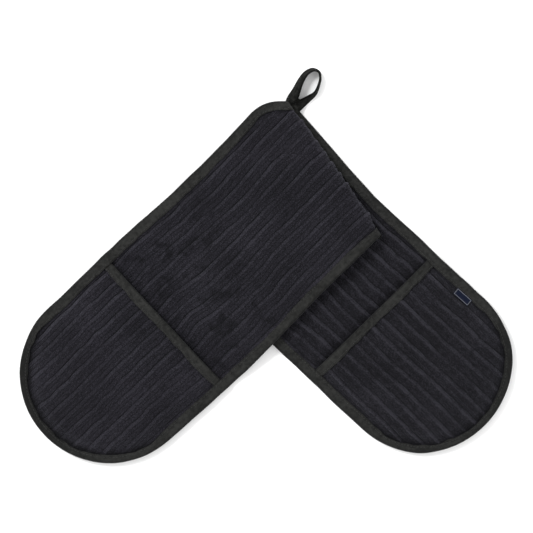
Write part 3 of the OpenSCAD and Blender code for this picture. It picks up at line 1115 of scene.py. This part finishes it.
for half, (place, crease) in PANEL.items():
    for where, faces in (("far", "top under"), ("nose", "")):
        names = (f"middle_tape_{where}_{half}", "middle_edge_binding", "middle_binding_thread")
        sew_tape(names, wedge_edge(half, where), WEDGE_LEVELS, place, BENDS[half], (wedge, crease), faces)


# ---- pocket mouths and margins
MOUTH_INSET = 5 * MM  # the mouths' tapes end this far inside the edge, under the edge binding


def mouth_path(side, half):
    t = np.linspace(*half_front(side, half, MOUTH_INSET), 60)
    slope = MOUTH_SKEW[side]
    normal = np.array([1.0, -slope]) / math.hypot(1, slope)
    return np.stack([mouth_line(side, t), t], -1), np.tile(normal, (len(t), 1))


def mouth_levels(side, points, normals):
    """Heights of what a mouth's tape is folded over, at a given distance inside the mouth."""
    def inside(d):
        return (points + normals * max(d, 0.5 * MM)).T

    return (lambda d: pocket_over(side, *inside(d)) + TAPE_OFF), (lambda d: pocket_under(side, *inside(d)))


for side in ARMS:
    for half in "ab":
        path = mouth_path(side, half)
        names = (f"{side}_mouth_tape_{half}", f"{side}_mouth_binding", f"{side}_mouth_thread")
        levels = mouth_levels(side, *path)
        sew_tape(names, path, levels, PLACE[side], pocket_bend(side, half), None, "top", NARROW["mouth"])


def pocket_margin(side):
    """The pressed seam allowance of the pocket front, under the edge binding."""
    points, normals = edge_path(side)
    inside = points[:, 0] > mouth_line(side, points[:, 1]) + 2 * MM
    points, normals = points[inside], normals[inside]
    d = np.array([1.2, 3, 5, 7, 9, 11, 13]) * MM
    p = points[:, None] + normals[:, None] * d[None, :, None]
    s, t = p[..., 0], p[..., 1]
    levels = face_level(side, s, t), pocket_over(side, s, t)
    return layer(f"{side}_pocket_seam", PLACE[side], s, t, levels, (0.55, 0.05), LINING)


for side in ARMS:
    finish_piece(pocket_margin(side), f"{side}_pocket_margin", "lining_cloth", body=f"{side}_arm")


# ---- hanging loop and its bar tack
LOOP_LINE = [  # x, y and height of the tape's centre in mm, and its tilt out of flat in degrees
    (24.0, 158.5, 6.9, 3), (26.3, 166.0, 6.6, 5), (31.0, 176.4, 6.0, 40), (35.6, 186.5, 5.6, 54),
    (40.7, 193.8, 5.5, 60), (47.4, 197.6, 5.7, 66), (53.6, 195.7, 5.8, 76), (55.2, 190.0, 5.9, 79),
    (54.2, 183.8, 5.9, 79), (50.4, 174.4, 5.8, 73), (43.5, 168.6, 5.8, 60), (35.7, 163.1, 6.6, 40),
    (30.7, 159.8, 7.6, 12), (27.0, 156.5, 8.1, 3)]
LOOP_W = 11.4 * MM
LOOP_T = 1.1 * MM


def curve_through(points, count):
    """A Catmull-Rom curve through a list of points, evenly divided."""
    p = np.array(points, float)
    p = np.concatenate([[2 * p[0] - p[1]], p, [2 * p[-1] - p[-2]]])
    u = np.linspace(0, len(points) - 1 - 1e-6, 40 * len(points))
    i, f = np.floor(u).astype(int), (u % 1)[:, None]
    a, b, c, d = p[i], p[i + 1], p[i + 2], p[i + 3]
    fine = 0.5 * (2 * b + (c - a) * f + (2 * a - 5 * b + 4 * c - d) * f**2 + (3 * b - a - 3 * c + d) * f**3)
    at = along_path(fine[:, :3])
    return read_along(at, fine, np.linspace(0, at[-1], count))


def hanging_loop():
    """A flat tape that leaves the seam, turns over on itself and comes back."""
    line = curve_through(LOOP_LINE, 150)
    centre, tilt = line[:, :3] * MM, np.radians(line[:, 3])
    ahead = unit_rows(np.gradient(centre, axis=0))
    flat = unit_rows(np.stack([ahead[:, 1], -ahead[:, 0], 0 * tilt], -1))
    wide = flat * np.cos(tilt)[:, None] + UP * np.sin(tilt)[:, None]
    up = np.cross(ahead, wide)
    up *= np.sign(up[:, 2:3] + 1e-9)
    k = np.linspace(-1, 1, 13)
    rim = [(x, 1 - abs(x) ** 12 * 0.5) for x in k] + [(x, -1 + abs(x) ** 12 * 0.5) for x in k[::-1]]
    rings = np.stack([centre + wide * x * LOOP_W / 2 + up * y * LOOP_T / 2 for x, y in rim], 1)
    along, back = along_path(centre), 30 * MM  # the tape's back has its own cloth, well away from its face
    across = [(x + 1) * LOOP_W / 2 + (y < 0) * back for x, y in rim]
    return tube("hanging_loop_tape", rings, along, across, LOOP_TAPE)


def loop_bend():
    """The arm and loop bodies, and two points across the loop's swing line: 2 mm inside it and 10 mm out."""
    pos, axis = joint_line("loop_swing")
    out = turned(axis[:2], 1)
    points = [(*(pos[:2] + d * out), 2 * MM) for d in (-2 * MM, 10 * MM)]
    return ("right_arm", "loop", *points)


finish_piece(hanging_loop(), "hanging_loop", "binding_tape", bend=loop_bend())


SEWN_AHEAD = np.array([0.5, 0.866, 0])  # along the tape's sewn ends
SEWN_ACROSS = np.array([0.866, -0.5, 0])
FOOT_CENTRE = np.array([26.8, 164.5, 5.2]) * MM
FOOT_SIZE, FOOT_CROWN = (14 * MM, 13 * MM, 2.2 * MM), 0.3 * MM
TACK_CENTRE = np.array([26.5, 165.2, 9.3]) * MM
TACK_LEN, TACK_REACH, TACK_R, ZIGS = 10 * MM, 0.9 * MM, 0.25 * MM, 40


def loop_foot():
    """The loop's sewn-in ends: a slightly crowned pad of tape lying level."""
    u, v = np.meshgrid(np.linspace(0, 1, 14), np.linspace(0, 1, 10), indexing="ij")
    length, width, thick = FOOT_SIZE
    plan = FOOT_CENTRE + ((u - 0.5) * length)[..., None] * SEWN_AHEAD
    plan = plan - ((v - 0.5) * width)[..., None] * SEWN_ACROSS
    plan[..., 2] += FOOT_CROWN * (1 - (2 * u - 1) ** 2) * (1 - (2 * v - 1) ** 2)
    half = UP * thick / 2
    return shell("loop_foot_tape", plan + half, plan - half, u * length, v * width, TAPE)


def bar_tack():
    """A close zigzag of thread across the loop's sewn ends."""
    shares = np.linspace(0, 1, ZIGS) - 0.5
    zig = np.where(np.arange(ZIGS) % 2, 1.0, -1.0)
    line = TACK_CENTRE + np.outer(shares * TACK_LEN, SEWN_ACROSS) + np.outer(zig * TACK_REACH, SEWN_AHEAD)
    rings = [line + TACK_R * (math.cos(a) * SEWN_AHEAD + math.sin(a) * UP) for a in ROUND]
    return tube("loop_tack_thread", np.stack(rings, 1), along_path(line), TACK_R * ROUND, THREAD)


finish_piece(loop_foot(), "loop_sewn_ends", "binding_tape", body="right_arm")
finish_piece(bar_tack(), "loop_bar_tack", "thread", body="right_arm")


# ---- label
def label_tab():
    """A folded label held in the seam, lying on the right pocket."""
    u, v = np.meshgrid(np.linspace(0, LABEL_LEN, 20), np.linspace(0, LABEL_W, 12), indexing="ij")
    s, t = RIGHT.mouth + LABEL_AT + u, TAPE_W - 0.8 * MM + v
    lie = pocket_over("right", s, t) + LABEL_LIFT + LABEL_WAVE * np.sin(u / LABEL_LEN * 5 + 1)
    top, bottom = place_right(s, t, lie + LABEL_T / 2), place_right(s, t, lie - LABEL_T / 2)
    return shell("label_cloth_tab", top, bottom, u, v, label_material())


finish_piece(label_tab(), "label_tab", "label_cloth", body="label")


# ---- table, light and camera
def table_top():
    """A plain pale table, a hair under the glove."""
    bpy.ops.mesh.primitive_plane_add(size=4, location=(0, 0, -0.0004))
    floor = bpy.context.object
    floor.name = "table_top"
    material, shader = principled("pale_table", 0.9)
    shader.inputs["Base Color"].default_value = (0.9, 0.9, 0.9, 1)
    floor.data.materials.append(material)


def area_light(name, place, size, power):
    """A round soft light aimed at the middle of the table."""
    data = bpy.data.lights.new(name, "AREA")
    data.shape, data.size, data.energy = "DISK", size, power
    lamp = add_object(name, data)
    lamp.location = place
    lamp.rotation_euler = (-Vector(place)).to_track_quat("-Z", "Y").to_euler()


def white_surroundings(strength):
    world = bpy.data.worlds.new("studio")
    world.use_nodes = True
    background = world.node_tree.nodes["Background"].inputs
    background["Color"].default_value, background["Strength"].default_value = (1, 1, 1, 1), strength
    bpy.context.scene.world = world
    bpy.context.scene.view_settings.view_transform = "Standard"


def camera(place, lens):
    """The photo's camera, straight above the glove."""
    data = bpy.data.cameras.new("camera")
    data.lens, data.sensor_width, data.clip_end = lens, 36, 20
    eye = add_object("camera", data)
    eye.location = place
    bpy.context.scene.camera = eye


table_top()
area_light("key", (-1.15, 0.85, 1.7), 0.75, 38)
area_light("fill", (1.2, -1.0, 1.8), 1.6, 9)
white_surroundings(1.1)
camera(place=(0.001, -0.0005, 2.01), lens=134.4)
